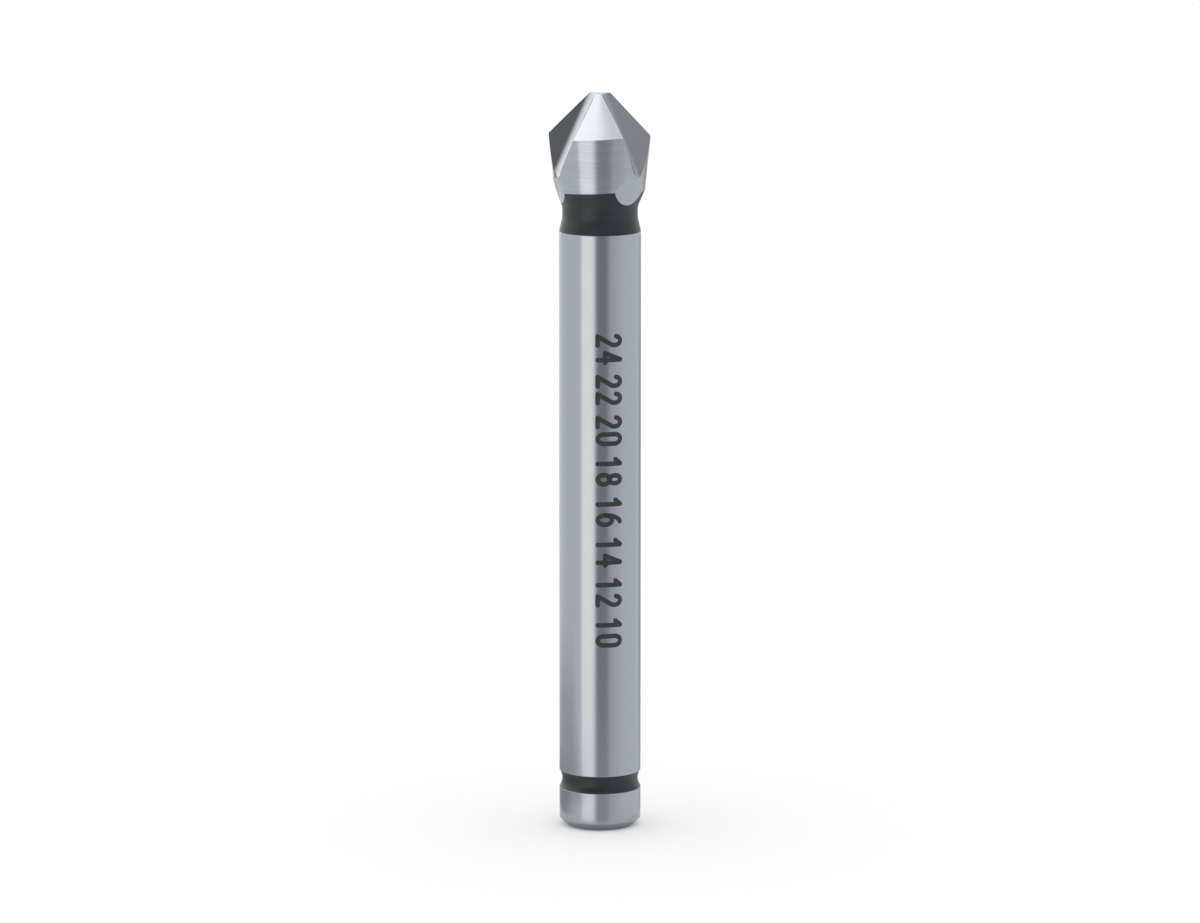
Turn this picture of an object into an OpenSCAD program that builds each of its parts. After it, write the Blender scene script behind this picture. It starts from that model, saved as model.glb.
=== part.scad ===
// Countersink bit, one piece: round shank, necked stem, three-flute 90 degree head.
// The bit stands on the end of its shank, tip up. All lengths in millimetres.
// Angles turn anticlockwise seen from the tip; the viewer of the main picture
// stands at the -90 degree side.

/* [Overall] */
// whole length from the shank end to the flat on the tip
total_length = 36.26; // [20:0.01:80]
// diameter of the straight shank
shank_d = 4.0; // [2:0.1:12]
// largest diameter of the head, at the foot of the cone
head_d = 5.0; // [3:0.1:20]

/* [Shank end] */
// width of the 45 degree chamfer on the shank end
end_chamfer = 0.375; // [0.1:0.005:1]
// height of the middle of the ring groove above the shank end
ring_height = 2.335; // [1:0.005:8]
// width of the ring groove at the shank surface
ring_width = 0.87; // [0.3:0.01:2]
// depth of the ring groove
ring_depth = 0.14; // [0.05:0.01:0.5]

/* [Neck] */
// length of the shank at its full diameter, measured from the end
shank_length = 29.5; // [10:0.05:60]
// height at which the narrowing ends and the straight neck begins
neck_start = 30.23; // [10:0.01:60]
// height at which the straight neck ends and widens to the head
neck_end = 30.75; // [10:0.01:60]
// diameter of the straight neck
neck_d = 3.676; // [2:0.001:10]
// height at which the widening reaches the tapered part of the head
head_start = 31.65; // [10:0.01:60]
// diameter of the head at its lower edge
head_low_d = 4.46; // [2:0.01:18]

/* [Cone] */
// full angle of the countersinking cone
cone_angle = 90; // [60:1:120]
// radius of the small flat on the tip, at a cutting edge
tip_r = 0.55; // [0.1:0.01:2]

/* [Relief behind each cutting edge] */
// tilt of the axis on which each cone land is ground
cone_relief = 2.3; // [0.2:0.1:6]
// sideways shift of the axis on which each side land is ground
side_relief = 0.035; // [0.01:0.005:0.4]
// direction of tilt and shift, ahead of the cutting edge
relief_lead = 35; // [0:1:90]

/* [Flutes] */
// number of flutes and cutting edges
flute_count = 3; // [2:1:5]
// direction of the cutting edge at the foot of the cone
edge_turn = -63.4; // [-180:0.1:180]
// direction in which the first flute runs outward
flute_turn = -33.5; // [-180:0.1:180]
// angle between the flute bottom and the axis
flute_tilt = 26.5; // [10:0.1:45]
// radius of the flute root
flute_root_r = 0.25; // [0.1:0.01:1.5]
// distance of the root centre from the axis, in the slanted cross-section at the tip
flute_root_out = 0.525; // [0.2:0.001:2]
// sideways distance of the root centre from the radial plane of the flute
flute_root_side = -0.259; // [-1:0.001:1]
// slant of the cutting face in the cross-section of the flute
face_turn = 41.8; // [20:0.1:90]
// slant of the opposite wall in the cross-section of the flute
wall_turn = -24.0; // [-60:0.1:20]

/* [Run-outs of the flutes] */
// direction of the first run-out hollow
runout_turn = -46; // [-180:0.1:180]
// height of the deepest line of the run-out hollow
runout_height = 31.05; // [28:0.01:36]
// distance of the deepest line from the axis
runout_out = 1.915; // [1.5:0.001:2.5]
// radius of the run-out hollow along the bit
runout_r = 3.5; // [2:0.1:30]

/* [Hidden] */
$fn = 96;
// clear margin by which cutters stand past the metal
past = 3;
shank_r = shank_d / 2;
head_r = head_d / 2;
neck_r = neck_d / 2;
head_low_r = head_low_d / 2;
// height of the foot of the cone at a cutting edge
cone_start = total_length - (head_r - tip_r) / tan(cone_angle / 2);
// slopes: change of radius per millimetre of height
side_slope = (head_r - head_low_r) / (cone_start - head_start);
widen_slope = (head_low_r - neck_r) / (head_start - neck_end);
// oversize radius of the head before its lands are ground
blank_r = head_r + 0.2;
// how far the wedges stand above the tip: less than the cones do, so that they never meet
tip_margin = 0.1;
// direction of the gap between two wedges, inside the flute and its run-out all the way down
gap_turn = runout_turn + 2;
// half of that gap
sector_gap = 1;
// heights covered by the head above the neck
head_height = total_length - neck_end;
// the ring groove is a slice of a round section
ring_r = (ring_width * ring_width / 4 + ring_depth * ring_depth) / (2 * ring_depth);
flute_step = 360 / flute_count;
relief_turn = edge_turn + relief_lead;
steel = [0.72, 0.74, 0.77];

// height of the point of the full cone
apex_height = cone_start + head_r / tan(cone_angle / 2);
// half angle of a cone land about its tilted axis: the cutting edge keeps the full cone angle
land_angle = acos(sin(cone_relief) * sin(cone_angle / 2) * cos(relief_lead)
                  + cos(cone_relief) * cos(cone_angle / 2));
// radius of a side land at the foot of the cone, about its shifted axis: the corner keeps head_r
land_r = sqrt(pow(head_r * cos(relief_lead) - side_relief, 2) + pow(head_r * sin(relief_lead), 2));

// round blank: shank, ring groove, neck and an oversize head
module blank() {
    difference() {
        rotate_extrude() polygon([
            [0, 0],
            [shank_r - end_chamfer, 0],
            [shank_r, end_chamfer],
            [shank_r, shank_length],
            [neck_r, neck_start],
            [neck_r, neck_end],
            [blank_r, neck_end + (blank_r - neck_r) / widen_slope],
            [blank_r, total_length],
            [0, total_length]
        ]);
        rotate_extrude() translate([shank_r - ring_depth + ring_r, ring_height]) circle(r = ring_r);
    }
}

// a wedge of nearly one flute step; its edges lie where the flutes cut the metal away
module land_sector() {
    reach = 2 * head_d;
    first = gap_turn - flute_step + sector_gap;
    middle = gap_turn - flute_step / 2;
    last = gap_turn - sector_gap;
    translate([0, 0, neck_end]) linear_extrude(height = head_height + tip_margin) polygon([
        [0, 0],
        [reach * cos(first), reach * sin(first)],
        [2 * reach * cos(middle), 2 * reach * sin(middle)],
        [reach * cos(last), reach * sin(last)]
    ]);
}

// the shape one land is ground to: the cone about a tilted axis, the side about a shifted one
module ground_land() {
    side_length = apex_height - neck_end;
    cone_length = side_length + past;
    rotate([0, 0, relief_turn]) intersection() {
        translate([side_relief, 0, neck_end - 1])
            cylinder(r1 = land_r - side_slope * (cone_start - neck_end + 1),
                     r2 = land_r + side_slope * (apex_height - cone_start),
                     h = side_length + 1);
        translate([0, 0, apex_height]) rotate([0, -cone_relief, 0]) translate([0, 0, -cone_length])
            cylinder(r1 = cone_length * tan(land_angle), r2 = 0, h = cone_length);
    }
}

// relief cutter: what is ground off the blank behind one cutting edge
module relief_cut() {
    difference() {
        land_sector();
        ground_land();
    }
}

// flute cutter: a slanted groove with a flat cutting face, a round root and a flat wall
module flute() {
    reach = 9;
    rise = 6;
    // the flats lie a hair inside the root circle, so that each meets it at a clean edge
    inset = 0.995 * flute_root_r;
    centre = [flute_root_out, flute_root_side];
    face_foot = centre - inset * [cos(face_turn), sin(face_turn)];
    wall_foot = centre - inset * [cos(wall_turn), sin(wall_turn)];
    // directions in which the two flats run outward from the root
    face_run = reach * [sin(face_turn), -cos(face_turn)];
    wall_run = reach * [-sin(wall_turn), cos(wall_turn)];
    rotate([0, 0, flute_turn]) translate([0, 0, total_length]) rotate([0, -flute_tilt, 0])
        translate([0, 0, -reach]) linear_extrude(height = reach + rise) {
            translate(centre) circle(r = flute_root_r);
            polygon([
                centre,
                face_foot,
                face_foot + face_run,
                centre + face_run + wall_run,
                wall_foot + wall_run,
                wall_foot
            ]);
        }
}

// run-out cutter: a shallow hollow in which the flute dies out at the neck
module runout() {
    rotate([0, 0, runout_turn]) translate([runout_out + runout_r, 0, runout_height])
        rotate([90, 0, 0]) cylinder(r = runout_r, h = 2 * head_d, center = true);
}

// the whole bit
module countersink_bit() {
    color(steel) difference() {
        blank();
        for (i = [0 : flute_count - 1]) rotate([0, 0, i * flute_step]) {
            relief_cut();
            flute();
            runout();
        }
    }
}

countersink_bit();
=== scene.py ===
# %% [markdown]
# # A three-flute countersink bit
# The real tool is one piece of high-grade steel. A lathe turns the blank, a hardening shop
# blackens it, and grinding wheels then bring the shank, the cone and the flutes to bright metal.
# The black that the wheels never reach is left in the neck and in the ring near the foot.
#
# The construction model fixes every size and place. This script loads it, rebuilds its skin with
# exact surfaces, and gives each ground or blackened zone its own finish.

# %% Load the construction model
import math
from bisect import bisect_right

import bmesh
import bpy
from mathutils import Matrix, Vector


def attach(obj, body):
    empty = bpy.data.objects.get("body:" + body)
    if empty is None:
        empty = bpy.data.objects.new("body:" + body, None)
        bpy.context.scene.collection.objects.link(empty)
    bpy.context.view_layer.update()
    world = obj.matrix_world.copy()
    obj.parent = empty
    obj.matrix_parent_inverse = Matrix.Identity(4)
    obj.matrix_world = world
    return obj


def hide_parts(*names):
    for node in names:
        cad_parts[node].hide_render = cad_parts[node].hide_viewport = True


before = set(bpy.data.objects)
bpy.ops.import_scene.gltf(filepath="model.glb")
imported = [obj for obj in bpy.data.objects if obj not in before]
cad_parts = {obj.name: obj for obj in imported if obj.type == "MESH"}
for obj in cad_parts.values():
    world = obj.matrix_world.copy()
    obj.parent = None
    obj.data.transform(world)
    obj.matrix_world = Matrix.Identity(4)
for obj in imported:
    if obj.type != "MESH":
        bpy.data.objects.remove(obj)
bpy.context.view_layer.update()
scene = bpy.context.scene
scene.view_settings.view_transform = "Standard"

# %% [markdown]
# ## The camera
# The picture was taken from a little above with a long lens: the two sides of the shank stay
# almost parallel, and the round end shows as a shallow curve. A lens of 185 mm at 0.3 m gives the
# same drawing. The camera looks at the middle of the bit, so the bit stands in the middle of
# the picture.

# %% Camera
MM = 0.001
CAMERA_PITCH = math.radians(9.846)
CAMERA_DISTANCE = 302.5 * MM
CAMERA_AIM = Vector((0, 0, 18.14 * MM))
CAMERA_SENSOR, CAMERA_LENS = 36.0, 185.38
CLIP_START, CLIP_END = 0.01, 20

camera_data = bpy.data.cameras.new("camera")
camera_data.sensor_width = CAMERA_SENSOR
camera_data.lens = CAMERA_LENS
camera_data.clip_start = CLIP_START
camera_data.clip_end = CLIP_END
camera = bpy.data.objects.new("camera", camera_data)
toward_camera = Vector((0, -math.cos(CAMERA_PITCH), math.sin(CAMERA_PITCH)))
camera.location = CAMERA_AIM + CAMERA_DISTANCE * toward_camera
camera.rotation_euler = (math.radians(90) - CAMERA_PITCH, 0, 0)
scene.collection.objects.link(camera)
scene.camera = camera
print("camera", [round(v, 4) for v in camera.location])

# %% [markdown]
# ## Sizes
# These are the named values of the construction model, in millimetres and degrees. Only the
# run-outs are a little shorter, shallower and lower than in the model, as the soft reflections at
# the end of the real flutes ask for. Angles turn anticlockwise seen from the tip, and -90 degrees
# faces the camera.

# %% Sizes of the bit
LENGTH, SHANK_R, HEAD_R, TIP_R = 36.26, 2.0, 2.5, 0.55
END_CHAMFER = 0.375
RING_HEIGHT, RING_WIDTH, RING_DEPTH = 2.335, 0.87, 0.14
SHANK_TOP, NECK_LOW, NECK_HIGH, NECK_R = 29.5, 30.23, 30.75, 1.838
HEAD_LOW, HEAD_LOW_R = 31.65, 2.23
CONE_LOW = LENGTH - (HEAD_R - TIP_R)
APEX = CONE_LOW + HEAD_R
FLUTES = 3
STEP = 360 // FLUTES
EDGE_TURN, RELIEF_LEAD = -63.4, 35
SIDE_RELIEF, CONE_RELIEF = 0.035, 2.3
RUNOUT_TURN, RUNOUT_HEIGHT, RUNOUT_OUT, RUNOUT_R = -46, 30.97, 1.93, 2.5
# share of a full turn round the axis by which the run-outs seem bowed across
RUNOUT_BOW = 0.65
GAP_TURN = RUNOUT_TURN + 2
RELIEF_TURN = EDGE_TURN + RELIEF_LEAD
side_slope = (HEAD_R - HEAD_LOW_R) / (CONE_LOW - HEAD_LOW)
widen_slope = (HEAD_LOW_R - NECK_R) / (HEAD_LOW - NECK_HIGH)
print("foot of the cone at", CONE_LOW, "mm, point of the full cone at", APEX, "mm")


def turned(out, degrees, height):
    """Point at a distance from the axis, in a direction, at a height."""
    a = math.radians(degrees)
    return Vector((out * math.cos(a), out * math.sin(a), height))


def azimuth(p):
    return math.degrees(math.atan2(p.y, p.x))


# %% [markdown]
# ## The ground lands of the head
# Behind each cutting edge the metal falls away a little, or the bit would rub instead of cut.
# A grinder makes this relief by shifting and tilting the axis on which the land turns. So each
# land is a piece of an exact cone, only about its own axis. The two functions below say how far
# the metal reaches in any direction: `side_radius` for the side and `cone_spread` for the cone.

# %% Relief of the lands
lead = math.radians(RELIEF_LEAD)
side_r = math.hypot(HEAD_R * math.cos(lead) - SIDE_RELIEF, HEAD_R * math.sin(lead))
relief = math.radians(CONE_RELIEF)
HALF_CONE = math.radians(45)
cos_land = (math.sin(relief) * math.sin(HALF_CONE) * math.cos(lead)
            + math.cos(relief) * math.cos(HALF_CONE))


def land_number(degrees):
    return math.floor((degrees - GAP_TURN) / STEP) + 1


def from_relief(degrees):
    """Angle between a direction and the one in which its land's axis is shifted."""
    return math.radians(degrees - land_number(degrees) * STEP - RELIEF_TURN)


def side_radius(degrees, z):
    a = from_relief(degrees)
    r = side_r - side_slope * (CONE_LOW - z)
    return SIDE_RELIEF * math.cos(a) + math.sqrt(r ** 2 - (SIDE_RELIEF * math.sin(a)) ** 2)


def cone_spread(degrees):
    """Radius of a cone land for each millimetre below the point of the full cone."""
    across = math.sin(relief) * math.cos(from_relief(degrees))
    along = math.cos(relief)
    return math.tan(math.atan2(across, along) + math.acos(cos_land / math.hypot(across, along)))


print("spread at the edge", round(cone_spread(EDGE_TURN), 4),
      "and half a step behind it", round(cone_spread(EDGE_TURN - STEP / 2), 4))

# %% [markdown]
# ## The turned profile
# Everything below the head is a body of revolution. Its outline is a row of straight lines, and
# each corner gets a small radius, as a lathe tool and a polishing stone leave it. Every row
# holds the radius, the height and the angle at which the metal faces there. The angle is kept
# because it gives perfectly smooth shading later, whatever the number of faces.


# %% Rounded outline of the shank and neck
def facing(degrees):
    return Vector((math.cos(math.radians(degrees)), math.sin(math.radians(degrees))))


def lean(a, b):
    """How far above level the metal faces on the line from a up to b."""
    return math.degrees(math.atan2(a[0] - b[0], b[1] - a[1]))


def rounded(points, radii, steps=8):
    rows = []
    for before, corner, after, radius in zip(points, points[1:], points[2:], radii):
        e0, e1 = lean(before, corner), lean(corner, after)
        pull = radius if e1 > e0 else -radius
        middle = facing(e0) + facing(e1)
        centre = Vector(corner) - pull * middle / (1 + facing(e0).dot(facing(e1)))
        for i in range(steps + 1):
            e = e0 + (e1 - e0) * i / steps
            p = centre + pull * facing(e)
            rows.append((p.x, p.y, e))
    return rows


BROKEN_EDGE, RING_SHARE = 0.012, 0.98


def ring_rows(steps=16):
    """The round-bottomed ring, with its two edges barely broken."""
    r = (RING_WIDTH ** 2 / 4 + RING_DEPTH ** 2) / (2 * RING_DEPTH)
    spread = math.degrees(math.asin(RING_WIDTH / 2 / r))
    middle = Vector((SHANK_R - RING_DEPTH + r, RING_HEIGHT))
    edge = RING_WIDTH / 2 + BROKEN_EDGE
    rows = [(SHANK_R, RING_HEIGHT - edge, 0)]
    for i in range(steps + 1):
        e = RING_SHARE * spread * (1 - 2 * i / steps)
        p = middle - r * facing(e)
        rows.append((p.x, p.y, e))
    rows.append((SHANK_R, RING_HEIGHT + edge, 0))
    return rows


# corner radii, from the flat end up
END_CORNERS = [0.03, 0.035]
NECK_CORNERS = [1.2, 1.2, 0.6]
foot_line = [(0, 0), (SHANK_R - END_CHAMFER, 0), (SHANK_R, END_CHAMFER), (SHANK_R, RING_HEIGHT)]
neck_line = [(SHANK_R, RING_HEIGHT), (SHANK_R, SHANK_TOP), (NECK_R, NECK_LOW),
             (NECK_R, NECK_HIGH), (HEAD_LOW_R, HEAD_LOW)]
stem = rounded(foot_line, END_CORNERS) + ring_rows() + rounded(neck_line, NECK_CORNERS)
heights = [z for _, z, _ in stem]
print("stem profile", len(stem), "rows from", round(heights[0], 3), "to", round(heights[-1], 3))


def stem_lean(z):
    """Angle at which the stem faces at a height, read between the rows."""
    i = min(max(bisect_right(heights, z), 1), len(stem) - 1)
    (_, z0, e0), (_, z1, e1) = stem[i - 1], stem[i]
    t = min(max((z - z0) / max(z1 - z0, 1e-6), 0), 1)
    return e0 + (e1 - e0) * t


# %% [markdown]
# ## The blank
# The blank is a net of 360 columns. Each column follows the stem, then the side of its land, then
# its cone, and the rows meet exactly where one surface ends and the next begins. Each face
# remembers the zone it belongs to through its material slot, and the slots survive the cutting.

# %% Net of the blank
ZONES = ["end", "shank", "ring", "neck", "side", "cone", "tip",
         "rake", "wall", "root", "runout", "air"]
zone = {name: i for i, name in enumerate(ZONES)}
COLUMNS = 360
HEAD_ROWS = 6
# heights between which the foot of a side land and the foot of its cone are sought
SIDE_FOOT, CONE_FOOT = (31, 33), (33.5, 35)
# the black begins just above the corner of the shank
BLACK_FROM = SHANK_TOP + 0.03


def meet(gap, low, high):
    """Height at which a falling or rising gap is zero, by halving the interval."""
    for _ in range(40):
        middle = (low + high) / 2
        low, high = (middle, high) if (gap(low) > 0) == (gap(middle) > 0) else (low, middle)
    return (low + high) / 2


def head_column(degrees):
    spread = cone_spread(degrees)
    foot = meet(lambda z: NECK_R + widen_slope * (z - NECK_HIGH) - side_radius(degrees, z),
                *SIDE_FOOT)
    corner = meet(lambda z: side_radius(degrees, z) - spread * (APEX - z), *CONE_FOOT)
    column = [(side_radius(degrees, foot), foot)]
    for i in range(1, HEAD_ROWS + 1):
        z = foot + (corner - foot) * i / HEAD_ROWS
        column.append((side_radius(degrees, z), z))
    for i in range(1, HEAD_ROWS + 1):
        z = corner + (LENGTH - corner) * i / HEAD_ROWS
        column.append((spread * (APEX - z), z))
    return column


def stem_zone(z):
    if abs(z - RING_HEIGHT) < RING_WIDTH / 2:
        return "ring"
    return "neck" if z > BLACK_FROM else "shank"


def zone_mesh(name, net):
    """Turn a bmesh into an object whose slots stand for the zones."""
    mesh = bpy.data.meshes.new(name)
    net.to_mesh(mesh)
    net.free()
    for key in ZONES:
        mesh.materials.append(bpy.data.materials.get("zone_" + key)
                              or bpy.data.materials.new("zone_" + key))
    made = bpy.data.objects.new(name, mesh)
    scene.collection.objects.link(made)
    return made


net = bmesh.new()
rings = [[net.verts.new(turned(r, c, z)) for c in range(COLUMNS)] for r, z, _ in stem]
ring_zones = [stem_zone((a[1] + b[1]) / 2) for a, b in zip(stem, stem[1:])]
columns = [head_column(c if c < 180 else c - 360) for c in range(COLUMNS)]
for j in range(2 * HEAD_ROWS + 1):
    rings.append([net.verts.new(turned(column[j][0], c, column[j][1]))
                  for c, column in enumerate(columns)])
ring_zones += ["neck"] + ["side"] * HEAD_ROWS + ["cone"] * HEAD_ROWS
for lower, upper, key in zip(rings, rings[1:], ring_zones):
    for c in range(COLUMNS):
        d = (c + 1) % COLUMNS
        net.faces.new((lower[c], lower[d], upper[d], upper[c])).material_index = zone[key]
net.faces.new(list(reversed(rings[0]))).material_index = zone["end"]
net.faces.new(rings[-1]).material_index = zone["tip"]
blank = zone_mesh("blank", net)
print("blank", len(blank.data.polygons), "faces")

# %% [markdown]
# ## Grinding the flutes
# A flute is a slanted groove with a flat cutting face, a round bottom and a flat wall opposite.
# It ends in a shallow hollow at the neck, where the wheel runs out. Both could be modelled by
# hand, but a Boolean does what the wheel does: it takes away the metal it meets, and every edge
# comes out sharp. The cutters carry zone slots too, so the fresh faces know which part of the
# wheel made them.
#
# The bottom is rounder here than in the construction model, and the wall a little steeper: both
# follow the broad soft glint along the flutes of the real tool.

# %% Flute and run-out cutters
FLUTE_TURN, FLUTE_TILT, ROOT_R = -33.5, math.radians(26.5), 0.7
ROOT = Vector((0.942, -0.0494))
FACE_TURN, WALL_TURN = 41.8, -31.6
ROOT_STEPS, WHEEL_STEPS = 24, 64
# how far the cutters reach past the metal: down and up a flute, outward and sideways at a
# run-out; WHEEL_ARC is half the arc of a run-out wheel in degrees
FLUTE_DOWN, FLUTE_UP = 9, 6
WHEEL_OUT, WHEEL_HALF, WHEEL_ARC = 8, 5, 40
TIP = Vector((0, 0, LENGTH))
UP = Vector((0, 0, 1))


def flute_axes(k):
    """Outward, sideways and lengthwise directions of flute k."""
    outward = turned(math.cos(FLUTE_TILT), FLUTE_TURN + k * STEP, math.sin(FLUTE_TILT))
    sideways = turned(1, FLUTE_TURN + k * STEP + 90, 0)
    return outward, sideways, outward.cross(sideways)


def cutter(name, outline, side_zones, origin, axes, start, end):
    """Closed prism over a flat outline; side_zones[i] names the side after point i."""
    u, v, w = axes
    net = bmesh.new()
    ends = [[net.verts.new(origin + p.x * u + p.y * v + h * w) for p in outline]
            for h in (start, end)]
    for i, key in enumerate(side_zones):
        j = (i + 1) % len(outline)
        face = net.faces.new((ends[0][i], ends[0][j], ends[1][j], ends[1][i]))
        face.material_index = zone[key]
    for lid in (list(reversed(ends[0])), ends[1]):
        net.faces.new(lid).material_index = zone["air"]
    bmesh.ops.recalc_face_normals(net, faces=net.faces)
    return zone_mesh(name, net)


def flute_cutter(k):
    face, wall = facing(FACE_TURN), facing(WALL_TURN)
    face_run = FLUTE_DOWN * Vector((face.y, -face.x))
    wall_run = FLUTE_DOWN * Vector((-wall.y, wall.x))
    sweep = (WALL_TURN - FACE_TURN) / ROOT_STEPS
    arc = [ROOT - ROOT_R * facing(FACE_TURN + sweep * i) for i in range(ROOT_STEPS + 1)]
    outline = arc + [arc[-1] + wall_run, ROOT + face_run + wall_run, arc[0] + face_run]
    sides = ["root"] * ROOT_STEPS + ["wall", "air", "air", "rake"]
    return cutter("flute_wheel", outline, sides, TIP, flute_axes(k), -FLUTE_DOWN, FLUTE_UP)


def runout_cutter(k):
    middle = Vector((RUNOUT_OUT + RUNOUT_R, RUNOUT_HEIGHT))
    arc = [middle - RUNOUT_R * facing(WHEEL_ARC * (1 - 2 * i / WHEEL_STEPS))
           for i in range(WHEEL_STEPS + 1)]
    outline = arc + [Vector((WHEEL_OUT, arc[-1].y)), Vector((WHEEL_OUT, arc[0].y))]
    sides = ["runout"] * WHEEL_STEPS + ["air"] * 3
    out = turned(1, RUNOUT_TURN + k * STEP, 0)
    axes = (out, UP, out.cross(UP))
    return cutter("runout_wheel", outline, sides, Vector(), axes, -WHEEL_HALF, WHEEL_HALF)


cutters = [make(k) for make in (flute_cutter, runout_cutter) for k in range(FLUTES)]
for wheel in cutters:
    cut = blank.modifiers.new("ground_away", "BOOLEAN")
    cut.operation = "DIFFERENCE"
    cut.solver = "EXACT"
    cut.object = wheel
bpy.context.view_layer.update()
skin = bpy.data.meshes.new_from_object(blank.evaluated_get(bpy.context.evaluated_depsgraph_get()))
skin.name = "ground_bit"
zones_of_faces = [ZONES[polygon.material_index] for polygon in skin.polygons]
print("cut skin", len(skin.polygons), "faces in", sorted(set(zones_of_faces)))

# %% [markdown]
# ## Exact shading and the direction of grinding
# A Boolean leaves long thin faces, and their averaged normals would show as flaws in a glossy
# surface. Each zone is a known surface, so its true normal is written on every corner instead.
# The run-outs alone are shaded a little rounder across than they are, as their soft reflections
# in the picture ask for.
#
# The same pass stores `grain`, a position that is squeezed along the path of the grinding wheel.
# Any texture that reads it comes out as fine lines: round the axis on the lands and shank,
# lengthwise in the flutes.

# %% Normals and grain on every corner
# shrinks the grain along the path of the wheel, which stretches each mark into a line
SQUEEZE = 0.06
# degrees round a flat end that count as much as a millimetre
END_SWEEP = 60
wheels = []
for k in range(FLUTES):
    u, v, w = flute_axes(k)
    face, wall = facing(FACE_TURN), facing(WALL_TURN)
    wheels.append({"rake": face.x * u + face.y * v, "wall": wall.x * u + wall.y * v,
                   "root": TIP + ROOT.x * u + ROOT.y * v, "axes": (u, v, w)})


def short_turn(degrees):
    """The same turn, between -180 and 180 degrees."""
    return (degrees + 180) % 360 - 180


def nearest_flute(p):
    return min(range(FLUTES), key=lambda k: abs(short_turn(azimuth(p) - FLUTE_TURN - k * STEP)))


def true_normal(key, p, k):
    """Direction in which the surface of a zone faces at point p, for land or flute k."""
    if key == "side":
        q = p - turned(SIDE_RELIEF, RELIEF_TURN + k * STEP, 0)
        return (Vector((q.x, q.y, 0)).normalized() - side_slope * UP).normalized()
    if key == "cone":
        axis = turned(math.sin(relief), RELIEF_TURN + k * STEP, -math.cos(relief))
        return ((p - APEX * UP).normalized() * cos_land - axis).normalized()
    if key in ("rake", "wall"):
        return wheels[k][key]
    if key == "root":
        q, lengthwise = wheels[k]["root"] - p, wheels[k]["axes"][2]
        return (q - q.dot(lengthwise) * lengthwise).normalized()
    if key == "runout":
        middle = RUNOUT_TURN + k * STEP
        inward = RUNOUT_OUT + RUNOUT_R - turned(1, middle, 0).dot(p)
        q = Vector((inward, RUNOUT_HEIGHT - p.z)).normalized()
        return turned(q.x, middle + RUNOUT_BOW * short_turn(azimuth(p) - middle), q.y)
    if key in ("end", "tip"):
        return -UP if key == "end" else UP
    a = facing(stem_lean(p.z))
    return Vector((p.x, p.y, 0)).normalized() * a.x + UP * a.y


def grain_at(key, p, k):
    if key in ("rake", "wall", "root"):
        u, v, w = wheels[k]["axes"]
        return Vector((p.dot(u), p.dot(v), SQUEEZE * p.dot(w)))
    if key == "runout":
        out = turned(1, RUNOUT_TURN + k * STEP, 0)
        return Vector((SQUEEZE * p.dot(out), p.dot(out.cross(UP)), SQUEEZE * p.z))
    if key in ("end", "tip"):
        return Vector((math.hypot(p.x, p.y), SQUEEZE * azimuth(p) / END_SWEEP, p.z))
    return Vector((SQUEEZE * p.x, SQUEEZE * p.y, p.z))


normals, grain = [], []
for polygon, key in zip(skin.polygons, zones_of_faces):
    middle = polygon.center
    k = land_number(azimuth(middle)) if key in ("side", "cone") else nearest_flute(middle)
    polygon.use_smooth = True
    for corner in polygon.loop_indices:
        p = skin.vertices[skin.loops[corner].vertex_index].co
        normals.append(true_normal(key, p, k))
        grain.extend(grain_at(key, p, k))
skin.transform(Matrix.Scale(MM, 4))
skin.normals_split_custom_set([n.to_tuple() for n in normals])
skin.attributes.new("grain", "FLOAT_VECTOR", "CORNER").data.foreach_set("vector", grain)
print("normals and grain on", len(normals), "corners")

# %% [markdown]
# ## Placing the skin
# The finished skin stands for the node of the construction model. It rides on the only body, so
# it goes wherever the part goes. The blank and the wheels have done their work and are removed.

# %% Ground skin in place of the plain node
for tool in cutters + [blank]:
    tool_mesh = tool.data
    bpy.data.objects.remove(tool)
    bpy.data.meshes.remove(tool_mesh)
bit = bpy.data.objects.new("ground_bit", skin)
scene.collection.objects.link(bit)
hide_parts("countersink_bit")
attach(bit, "root")
print("bit has", len(skin.vertices), "points")

# %% [markdown]
# ## Grinding marks
# Ground steel isn't a mirror. Each grit of the wheel leaves a hair-fine line, and the lines
# differ a little in brightness and in how much they scatter light. Two noises read the
# squeezed `grain` position: a fine one for single lines and a broad one for bands of lines. The
# group puts out a brightness value and a height, and each steel chooses its own strength.

# %% Shader group for grinding marks
def new_group(name, inputs, outputs):
    """Shader node group with named sockets; returns it with its input and output nodes."""
    group = bpy.data.node_groups.new(name, "ShaderNodeTree")
    for label, kind, value in inputs:
        socket = group.interface.new_socket(name=label, in_out="INPUT", socket_type=kind)
        if value is not None:
            socket.default_value = value
    for label, kind in outputs:
        group.interface.new_socket(name=label, in_out="OUTPUT", socket_type=kind)
    return group, group.nodes.new("NodeGroupInput"), group.nodes.new("NodeGroupOutput")


def add(tree, kind, **settings):
    node = tree.nodes.new(kind)
    for key, value in settings.items():
        setattr(node, key, value)
    return node


def wire(tree, *pairs):
    for source, target in pairs:
        tree.links.new(source, target)


def maths(tree, operation, a, b=None, c=None):
    """Math node whose inputs are sockets or plain numbers; returns its output."""
    node = add(tree, "ShaderNodeMath", operation=operation)
    for socket, value in zip(node.inputs, (a, b, c)):
        if isinstance(value, bpy.types.NodeSocket):
            tree.links.new(value, socket)
        elif value is not None:
            socket.default_value = value
    return node.outputs[0]


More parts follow.
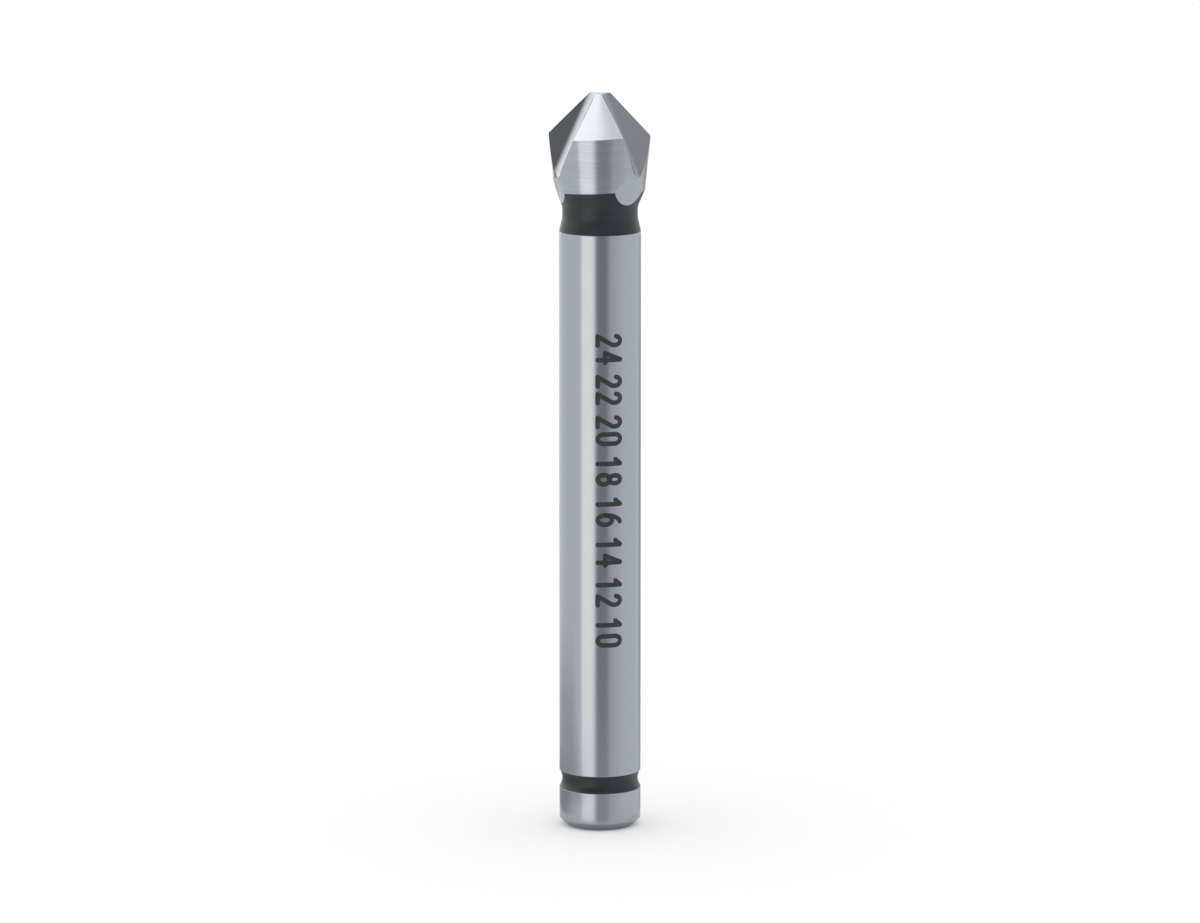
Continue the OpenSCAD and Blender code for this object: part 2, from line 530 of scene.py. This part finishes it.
marks, given, result = new_group(
    "grinding_marks",
    [("Grain", "NodeSocketVector", None), ("Lines per mm", "NodeSocketFloat", 8.0),
     ("Bands per mm", "NodeSocketFloat", 1.0), ("Band share", "NodeSocketFloat", 0.4)],
    [("Brightness", "NodeSocketFloat"), ("Height", "NodeSocketFloat")])
lines = add(marks, "ShaderNodeTexNoise", noise_dimensions="3D")
lines.inputs["Detail"].default_value = 3.0
lines.inputs["Roughness"].default_value = 0.65
bands = add(marks, "ShaderNodeTexNoise", noise_dimensions="3D")
bands.inputs["Detail"].default_value = 1.0
blend = add(marks, "ShaderNodeMix", data_type="FLOAT")
wire(marks, (given.outputs["Grain"], lines.inputs["Vector"]),
     (given.outputs["Grain"], bands.inputs["Vector"]),
     (given.outputs["Lines per mm"], lines.inputs["Scale"]),
     (given.outputs["Bands per mm"], bands.inputs["Scale"]),
     (given.outputs["Band share"], blend.inputs["Factor"]),
     (lines.outputs["Fac"], blend.inputs["A"]), (bands.outputs["Fac"], blend.inputs["B"]),
     (blend.outputs["Result"], result.inputs["Brightness"]),
     (lines.outputs["Fac"], result.inputs["Height"]))
print("group", marks.name, "with", len(marks.nodes), "nodes")

# %% [markdown]
# ## Handling film
# A tool that was sold and handled carries a thin film of oil. It shows as slow, cloudy changes in
# gloss with no direction at all. The group gives one soft value that all finishes share.

# %% Shader group for the oil film
film, given, result = new_group("oil_film", [("Patches per mm", "NodeSocketFloat", 0.5)],
                                [("Cloud", "NodeSocketFloat")])
place = add(film, "ShaderNodeTexCoord")
cloud = add(film, "ShaderNodeTexNoise", noise_dimensions="3D")
cloud.inputs["Detail"].default_value = 2.0
wire(film, (place.outputs["Object"], cloud.inputs["Vector"]),
     (maths(film, "MULTIPLY", given.outputs["Patches per mm"], 1 / MM), cloud.inputs["Scale"]),
     (cloud.outputs["Fac"], result.inputs["Cloud"]))
print("group", film.name, "ready")

# %% [markdown]
# ## Bright steels
# All bright zones are the same steel, a cool grey metal. They differ in the wheel that ground
# them: a fine one for the shank, a coarser one for the sides of the head, a long stroke in the
# flutes. The marks move the brightness and stand up as a very low relief, and the film clouds
# the gloss. Each line at the foot of the cell is one wheel.


# %% Steel materials
STEEL = (0.352, 0.391, 0.438)


def new_finish(name):
    """Fresh material, with its node tree and its shader."""
    material = bpy.data.materials.new(name)
    material.use_nodes = True
    return material, material.node_tree, material.node_tree.nodes["Principled BSDF"]


def about(tree, value, strength, middle):
    """Swing round a middle: a value of one half gives the middle itself."""
    return maths(tree, "MULTIPLY_ADD", maths(tree, "SUBTRACT", value, 0.5), strength, middle)


def shaded(tree, colour, level):
    """A plain colour times a level."""
    tint = add(tree, "ShaderNodeVectorMath", operation="SCALE")
    tint.inputs[0].default_value = colour
    wire(tree, (level, tint.inputs["Scale"]))
    return tint.outputs[0]


def oil_cloud(tree, patches=0.5):
    oil = add(tree, "ShaderNodeGroup", node_tree=film)
    oil.inputs["Patches per mm"].default_value = patches
    return oil.outputs["Cloud"]


def ground_with(tree, shader, lines, bands, share, depth):
    """Run grinding marks of a depth in millimetres over a shader; returns their brightness."""
    mark = add(tree, "ShaderNodeGroup", node_tree=marks)
    for label, value in (("Lines per mm", lines), ("Bands per mm", bands), ("Band share", share)):
        mark.inputs[label].default_value = value
    here = add(tree, "ShaderNodeAttribute", attribute_name="grain")
    bump = add(tree, "ShaderNodeBump")
    bump.inputs["Distance"].default_value = depth * MM
    wire(tree, (here.outputs["Vector"], mark.inputs["Grain"]),
         (mark.outputs["Height"], bump.inputs["Height"]),
         (bump.outputs["Normal"], shader.inputs["Normal"]))
    return mark.outputs["Brightness"]


def steel(name, lines, bands, share, contrast, roughness, uneven, depth):
    material, tree, shader = new_finish(name)
    shader.inputs["Metallic"].default_value = 1.0
    brightness = ground_with(tree, shader, lines, bands, share, depth)
    wire(tree, (shaded(tree, STEEL, about(tree, brightness, contrast, 1.0)),
                shader.inputs["Base Color"]),
         (about(tree, oil_cloud(tree), uneven, roughness), shader.inputs["Roughness"]))
    return material


shank_steel = steel("shank_steel", lines=14, bands=1.6, share=0.35, contrast=0.10,
                    roughness=0.19, uneven=0.05, depth=0.00003)
side_steel = steel("side_steel", lines=13, bands=3.0, share=0.40, contrast=0.52,
                   roughness=0.20, uneven=0.06, depth=0.0001)
cone_steel = steel("cone_steel", lines=14, bands=2.5, share=0.40, contrast=0.10,
                   roughness=0.20, uneven=0.05, depth=0.00004)
flute_steel = steel("flute_steel", lines=10, bands=2.0, share=0.40, contrast=0.10,
                    roughness=0.21, uneven=0.06, depth=0.00004)
print("steels", [m.name for m in (shank_steel, side_steel, cone_steel, flute_steel)])

# %% [markdown]
# ## Black oxide
# Hardened tools are often blackened by hot steam, which grows a thin skin of dark iron oxide. It
# isn't a bright metal any more: it swallows most light, and only its smooth top gives a weak
# gloss that grows toward the edges of the round neck.

# %% Oxide material
OXIDE = (0.0160, 0.0200, 0.0242)
OXIDE_GLOSS, OXIDE_SHINE = 0.37, (0.78, 0.91, 1.0, 1)
OXIDE_PATCHES, OXIDE_PATCHY, OXIDE_LINED = 1.2, 0.9, 0.5
OXIDE_ROUGH, OXIDE_UNEVEN = 0.36, 0.2

oxide, tree, shader = new_finish("black_oxide")
shader.inputs["Specular IOR Level"].default_value = OXIDE_GLOSS
shader.inputs["Specular Tint"].default_value = OXIDE_SHINE
cloud = oil_cloud(tree, OXIDE_PATCHES)
brightness = ground_with(tree, shader, lines=7, bands=1.0, share=0.4, depth=0.0003)
level = about(tree, brightness, OXIDE_LINED, about(tree, cloud, OXIDE_PATCHY, 1.0))
wire(tree, (shaded(tree, OXIDE, level), shader.inputs["Base Color"]),
     (about(tree, cloud, OXIDE_UNEVEN, OXIDE_ROUGH), shader.inputs["Roughness"]))
print("oxide", OXIDE)

# %% [markdown]
# ## Handing out the finishes
# The slots of the skin have stood for zones so far. Now each zone is given its finish. The
# faces keep their zone in a list, so the slots can be cleared and filled again.

# %% Finish of each zone
finish = {"end": shank_steel, "shank": shank_steel, "ring": oxide, "neck": oxide,
          "side": side_steel, "cone": cone_steel, "tip": cone_steel, "rake": flute_steel,
          "wall": flute_steel, "root": flute_steel, "runout": flute_steel}
materials = list(dict.fromkeys(finish.values()))
skin.materials.clear()
for material in materials:
    skin.materials.append(material)
for polygon, key in zip(skin.polygons, zones_of_faces):
    polygon.material_index = materials.index(finish[key])
print("finishes", {key: zones_of_faces.count(key) for key in sorted(set(zones_of_faces))})

# %% [markdown]
# ## The scale on the shank
# Dark figures are etched along the shank, read from the tip down. Here they are a plain depth
# scale: each number gives its own height above the shank end in millimetres. Etched figures are
# drawn with a round pen, so each one is a few strokes of constant width. A stroke becomes a
# thin closed ribbon that is bent round the shank. A font would be quicker, but its outlines don't
# have this pen-drawn look.


# %% Strokes of the figures
# width and height of a figure, and half the width of the pen, in millimetres
FIGURE_W, FIGURE_H, PEN = 0.46, 1.13, 0.115
CAP_STEPS, CAP_END = 6, 0.004


def bow(cx, cy, rx, ry, start, end, steps=20):
    """Part of an ellipse in figure units of one width and one height."""
    angles = [math.radians(start + (end - start) * i / steps) for i in range(steps + 1)]
    return [(cx + rx * math.cos(a), cy + ry * math.sin(a)) for a in angles]


FIGURES = {
    "0": [bow(0.5, 0.74, 0.5, 0.26, 0, 180) + bow(0.5, 0.26, 0.5, 0.26, 180, 360) + [(1, 0.74)]],
    "1": [[(0.15, 0.78), (0.62, 1.0)], [(0.62, 1.0), (0.62, 0.0)]],
    "2": [bow(0.5, 0.74, 0.48, 0.26, 165, -35) + [(0.06, 0.02)], [(0.02, 0.0), (1.0, 0.0)]],
    "4": [[(0.72, 1.0), (0.0, 0.32)], [(0.0, 0.32), (1.04, 0.32)], [(0.74, 1.0), (0.74, 0.0)]],
    "6": [bow(0.86, 0.36, 0.86, 0.64, 100, 180), bow(0.5, 0.31, 0.5, 0.31, 0, 360, 32)],
    "8": [bow(0.5, 0.75, 0.42, 0.25, 0, 360, 32), bow(0.5, 0.26, 0.5, 0.26, 0, 360, 32)],
}
NUMBERS = [24, 22, 20, 18, 16, 14, 12, 10]
FIGURE_GAP = 0.37
# foot of the figures, measured round the shank from the line that faces the camera
ROW_FOOT = -0.1125
RIBBON_RISE, RIBBON_SINK, RIBBON_ACROSS = 0.005, 0.02, 4


def even_points(points, spacing=0.03):
    """The same line with points at an even spacing."""
    out = [points[0]]
    for a, b in zip(points, points[1:]):
        n = max(1, math.ceil((b - a).length / spacing))
        out += [a + (b - a) * i / n for i in range(1, n + 1)]
    return out


def ribbon_rows(points):
    """Centre, sideways direction and half width at each step of a stroke with round ends."""
    closed = (points[0] - points[-1]).length < 1e-4
    rows = []
    for i, p in enumerate(points[:-1] if closed else points):
        before = points[i - 1] if i else (points[-2] if closed else p)
        after = points[i + 1] if i < len(points) - 1 else p
        along = (after - before).normalized()
        rows.append((p, Vector((-along.y, along.x)), PEN))
    if not closed:
        for end, side, step in ((rows[0], rows[0][1], 1), (rows[-1], rows[-1][1], -1)):
            along = Vector((-side.y, side.x)) * step
            cap = []
            for j in range(1, CAP_STEPS + 1):
                a = math.radians(90 * j / CAP_STEPS)
                half = max(PEN * math.cos(a), CAP_END)
                cap.append((end[0] + along * PEN * math.sin(a), side, half))
            rows = list(reversed(cap)) + rows if step == 1 else rows + cap
    return rows, closed


def on_shank(p, centre_height, out):
    """Bend a figure point round the shank: figure up runs to the right, figure right runs down."""
    turn = -90 + math.degrees((ROW_FOOT + p.y) / SHANK_R)
    return turned(out, turn, centre_height - p.x) * MM


def add_ribbon(net, points, centre_height):
    """Closed ribbon along a stroke: its top stands proud of the shank, its foot is inside."""
    rows, closed = ribbon_rows(points)
    across, count = RIBBON_ACROSS, len(rows)
    places = [[p + side * half * (2 * t / across - 1) for t in range(across + 1)]
              for p, side, half in rows]
    top, foot = [[[net.verts.new(on_shank(place, centre_height, out)) for place in row]
                  for row in places] for out in (SHANK_R + RIBBON_RISE, SHANK_R - RIBBON_SINK)]
    for i in range(count if closed else count - 1):
        j = (i + 1) % count
        for t in range(across):
            net.faces.new((top[i][t], top[j][t], top[j][t + 1], top[i][t + 1]))
            net.faces.new((foot[i][t + 1], foot[j][t + 1], foot[j][t], foot[i][t]))
        net.faces.new((foot[i][0], foot[j][0], top[j][0], top[i][0]))
        net.faces.new((top[i][across], top[j][across], foot[j][across], foot[i][across]))
    if not closed:
        for i, flip in ((0, False), (count - 1, True)):
            for t in range(across):
                quad = (top[i][t], top[i][t + 1], foot[i][t + 1], foot[i][t])
                net.faces.new(tuple(reversed(quad)) if flip else quad)


print("pen of", 2 * PEN, "mm for the figures", sorted(FIGURES))

# %% [markdown]
# Each number is centred on its own height. Two digits stand side by side round that height, and
# every stroke of them is laid on the shank as its own ribbon.

# %% Figures bent round the shank
net = bmesh.new()
stroke_count = 0
for number in NUMBERS:
    digits = str(number)
    width = len(digits) * FIGURE_W + (len(digits) - 1) * FIGURE_GAP
    for place, digit in enumerate(digits):
        start = place * (FIGURE_W + FIGURE_GAP) - width / 2
        for stroke in FIGURES[digit]:
            line = [Vector((start + x * FIGURE_W, y * FIGURE_H)) for x, y in stroke]
            add_ribbon(net, even_points(line), number)
            stroke_count += 1
bmesh.ops.recalc_face_normals(net, faces=net.faces)
scale_mesh = bpy.data.meshes.new("depth_scale")
net.to_mesh(scale_mesh)
net.free()
scale = bpy.data.objects.new("depth_scale", scale_mesh)
scene.collection.objects.link(scale)
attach(scale, "root")
print("depth scale", stroke_count, "strokes,", len(scale_mesh.polygons), "faces")

# %% [markdown]
# Etching burns the steel dark and slightly rough. A cloudy change in the dark keeps the figures
# from looking printed.

# %% Etched figures
ETCHED = (0.029, 0.032, 0.037)
ETCH_GLOSS, ETCH_ROUGH, ETCH_PATCHES, ETCH_PATCHY = 0.3, 0.45, 5.0, 0.8

etched, tree, shader = new_finish("etched_figures")
shader.inputs["Specular IOR Level"].default_value = ETCH_GLOSS
shader.inputs["Roughness"].default_value = ETCH_ROUGH
level = about(tree, oil_cloud(tree, ETCH_PATCHES), ETCH_PATCHY, 1.0)
wire(tree, (shaded(tree, ETCHED, level), shader.inputs["Base Color"]))
scale_mesh.materials.append(etched)
print("etched figures", ETCHED)

# %% [markdown]
# ## Room and floor
# The surroundings are an even white, as in a light tent: nothing shines brighter than the paint of
# the tent, so each colour renders as it is written. The floor is pale and matt. Its last bit of
# whiteness is added only for camera rays, so the soft shadow at the foot stays. The steel sees
# the floor in full only at its foot. Further out the floor fades for glossy rays, and they meet
# the cards of the next step instead.

# %% White surroundings and floor
FLOOR_R, FLOOR_WHITE, FLOOR_LIFT = 4.0, 0.93, 0.085
# radius of the floor seen in full in the steel, radius seen in part, and that part
FOOT_PATCH, NEAR_FLOOR, NEAR_SHARE = 4.2 * MM, 50 * MM, 0.25
world = bpy.data.worlds.new("light_tent")
scene.world = world
world.use_nodes = True
world.node_tree.nodes["Background"].inputs["Color"].default_value = (1, 1, 1, 1)
world.node_tree.nodes["Background"].inputs["Strength"].default_value = 1.0

net = bmesh.new()
bmesh.ops.create_circle(net, cap_ends=True, segments=96, radius=FLOOR_R)
floor_mesh = bpy.data.meshes.new("floor")
net.to_mesh(floor_mesh)
net.free()
floor = bpy.data.objects.new("floor", floor_mesh)
scene.collection.objects.link(floor)

paint, tree, shader = new_finish("pale_floor")
shader.inputs["Base Color"].default_value = (FLOOR_WHITE, FLOOR_WHITE, FLOOR_WHITE, 1)
shader.inputs["Roughness"].default_value = 1.0
shader.inputs["Specular IOR Level"].default_value = 0.0
shader.inputs["Emission Color"].default_value = (1, 1, 1, 1)
ray = add(tree, "ShaderNodeLightPath")
place = add(tree, "ShaderNodeTexCoord")
distance = add(tree, "ShaderNodeVectorMath", operation="LENGTH")
hollow = add(tree, "ShaderNodeBsdfTransparent")
choice = add(tree, "ShaderNodeMixShader")
gone = add(tree, "ShaderNodeMapRange", interpolation_type="SMOOTHSTEP")
gone.inputs["From Min"].default_value = FOOT_PATCH
gone.inputs["From Max"].default_value = NEAR_FLOOR
gone.inputs["To Min"].default_value = 1 - NEAR_SHARE
wire(tree, (maths(tree, "MULTIPLY", ray.outputs["Is Camera Ray"], FLOOR_LIFT),
            shader.inputs["Emission Strength"]),
     (place.outputs["Object"], distance.inputs[0]),
     (distance.outputs["Value"], gone.inputs["Value"]))
beyond = maths(tree, "GREATER_THAN", distance.outputs["Value"], FOOT_PATCH)
hidden = maths(tree, "MULTIPLY", beyond, gone.outputs["Result"])
wire(tree, (maths(tree, "MULTIPLY", ray.outputs["Is Glossy Ray"], hidden), choice.inputs["Fac"]),
     (shader.outputs[0], choice.inputs[1]), (hollow.outputs[0], choice.inputs[2]),
     (choice.outputs[0], tree.nodes["Material Output"].inputs["Surface"]))
floor_mesh.materials.append(paint)
print("floor of radius", FLOOR_R, "m")

# %% [markdown]
# ## Studio cards
# Polished metal shows nothing but its surroundings, so a photographer places dark and bright
# cards round it. Their reflections draw the form: a bright strip left of the middle, a dark
# one beside it from the camera's side, and an overhead box that lights up the cone.
#
# Each card is a piece of a sphere that only glossy rays can see. It lights nothing else, and its
# edges fade out, which is what gives the soft borders of real diffusers.

# %% Soft-edged card shader
fade, given, result = new_group(
    "card_fade",
    [("Left", "NodeSocketFloat", 0.1), ("Right", "NodeSocketFloat", 0.1),
     ("Bottom", "NodeSocketFloat", 0.1), ("Top", "NodeSocketFloat", 0.1)],
    [("Mask", "NodeSocketFloat")])
place = add(fade, "ShaderNodeTexCoord")
split = add(fade, "ShaderNodeSeparateXYZ")
wire(fade, (place.outputs["UV"], split.inputs[0]))
across, upward = split.outputs["X"], split.outputs["Y"]
from_edges = {"Left": across, "Right": maths(fade, "SUBTRACT", 1.0, across),
              "Bottom": upward, "Top": maths(fade, "SUBTRACT", 1.0, upward)}
mask = 1.0
for label, from_edge in from_edges.items():
    ramp = add(fade, "ShaderNodeMapRange", interpolation_type="SMOOTHSTEP")
    wire(fade, (from_edge, ramp.inputs["Value"]), (given.outputs[label], ramp.inputs["From Max"]))
    mask = maths(fade, "MULTIPLY", mask, ramp.outputs["Result"])
wire(fade, (mask, result.inputs["Mask"]))
print("group", fade.name, "with", len(fade.nodes), "nodes")

# %% [markdown]
# ## Hanging a card
# A curved card is given by the directions and the elevations between which it hangs, seen from the
# middle of the bit. A flat card is given by its sides in metres. A nearer card covers a farther
# one, so two soft cards can share a border.

# %% Curved and flat cards
CARD_CENTRE = Vector((0, 0, 25 * MM))
NO_FADE = 0.001
CARD_COLUMNS, CARD_ROWS = 32, 16


def hang(name, net, level, fades, tint=(1, 1, 1)):
    """Make a card of a net: it glows at a level, and its four edges fade by shares of its size."""
    mesh = bpy.data.meshes.new(name)
    net.to_mesh(mesh)
    net.free()
    made = bpy.data.objects.new(name, mesh)
    scene.collection.objects.link(made)
    for sight in ("visible_camera", "visible_diffuse", "visible_shadow", "visible_transmission"):
        setattr(made, sight, False)
    glow, tree, shader = new_finish(name)
    shader.inputs["Base Color"].default_value = (0, 0, 0, 1)
    shader.inputs["Specular IOR Level"].default_value = 0.0
    shader.inputs["Emission Color"].default_value = (*tint, 1)
    shader.inputs["Emission Strength"].default_value = level
    edge = add(tree, "ShaderNodeGroup", node_tree=fade)
    for label, share in zip(("Left", "Right", "Bottom", "Top"), fades):
        edge.inputs[label].default_value = max(share, NO_FADE)
    wire(tree, (edge.outputs["Mask"], shader.inputs["Alpha"]))
    mesh.materials.append(glow)
    print("card", name, "at level", level)


def curved_card(name, turns, rises, level, distance, fades, tint=(1, 1, 1)):
    """Card between two directions and two elevations; its fades are in degrees too."""
    n, m = CARD_COLUMNS, CARD_ROWS
    net = bmesh.new()
    uv = net.loops.layers.uv.new("card")
    grid = []
    for j in range(m + 1):
        e = math.radians(rises[0] + (rises[1] - rises[0]) * j / m)
        row = [turned(math.cos(e), turns[0] + (turns[1] - turns[0]) * i / n, math.sin(e))
               for i in range(n + 1)]
        grid.append([net.verts.new(CARD_CENTRE + distance * way) for way in row])
    for j in range(m):
        for i in range(n):
            face = net.faces.new((grid[j][i], grid[j][i + 1], grid[j + 1][i + 1], grid[j + 1][i]))
            corners = ((i, j), (i + 1, j), (i + 1, j + 1), (i, j + 1))
            for loop, (s, t) in zip(face.loops, corners):
                loop[uv].uv = (s / n, t / m)
    spans = (turns[1] - turns[0],) * 2 + (rises[1] - rises[0],) * 2
    hang(name, net, level, [width / span for width, span in zip(fades, spans)], tint)


def flat_card(name, x, y, height, level, fades, tint=(1, 1, 1)):
    """Level card at a height, its sides and fades in metres."""
    net = bmesh.new()
    uv = net.loops.layers.uv.new("card")
    corners = ((x[0], y[0]), (x[1], y[0]), (x[1], y[1]), (x[0], y[1]))
    face = net.faces.new([net.verts.new((a, b, height)) for a, b in corners])
    for loop, at in zip(face.loops, ((0, 0), (1, 0), (1, 1), (0, 1))):
        loop[uv].uv = at
    spans = (x[1] - x[0],) * 2 + (y[1] - y[0],) * 2
    hang(name, net, level, [width / span for width, span in zip(fades, spans)], tint)


print("curved cards hang round a point", round(CARD_CENTRE.z / MM, 1), "mm above the floor")

# %% [markdown]
# ## The cards of this picture
# Four fades follow each card: left, right, bottom and top. The camera's side is dark, with a veil
# that leads it softly to the white on the right. The bright strip to its left draws the long
# highlight. The flags above darken the flutes, the boxes light the cone and the round edges, and
# two small cards on the floor shade the foot.

# %% Cards round the bit
WARM, PALE = (1.052, 1.0, 0.932), (1.04, 1.0, 0.96)
# in front of the bit
curved_card("right_veil", (-80, -12), (-60, 34), 0.78, 0.93, (10, 44, 10, 14))
curved_card("camera_side", (-126, -56), (-60, 62), 0.36, 0.90, (2, 20, 10, 20))
curved_card("low_front", (-126, -62), (-60, -13), 0.56, 0.88, (2, 12, 10, 6))
curved_card("bright_strip", (-146, -97), (-60, 12), 1.72, 0.84, (4, 14, 10, 8), WARM)
curved_card("dark_flag", (-176, -98), (6, 52), 0.19, 0.80, (46, 16, 8, 12), WARM)
# to the left
curved_card("left_box", (112, 232), (2, 50), 1.9, 0.82, (14, 90, 12, 16), WARM)
curved_card("edge_glint", (90, 140), (-8, 14), 1.9, 0.81, (6, 24, 8, 6), WARM)
curved_card("left_veil", (94, 124), (-34, -9), 0.78, 0.83, (6, 14, 8, 4))
# to the right
curved_card("right_flag", (-70, 66), (2, 54), 0.54, 0.81, (24, 86, 16, 14))
curved_card("low_right", (40, 90), (-44, -2), 0.50, 0.82, (24, 5, 12, 8))
# above
OVERHEAD_Y = (-0.45, 0.9)
flat_card("overhead_right", (-0.5, 0.80), OVERHEAD_Y, 0.86, 1.47, (0.1, 0.3, 0.1, 0.1), PALE)
flat_card("overhead_box", (-0.95, 0.20), OVERHEAD_Y, 0.8, 2.32, (0.1, 0.44, 0.1, 0.1), PALE)
# on the floor, left of the foot
flat_card("foot_left", (-0.052, -0.003), (-0.012, 0.045), 0.0003, 0.64,
          (0.034, 0.005, 0.010, 0.03))
flat_card("collar_left", (-0.015, -0.0025), (-0.003, 0.017), 0.0004, 0.48,
          (0.007, 0.001, 0.004, 0.007))
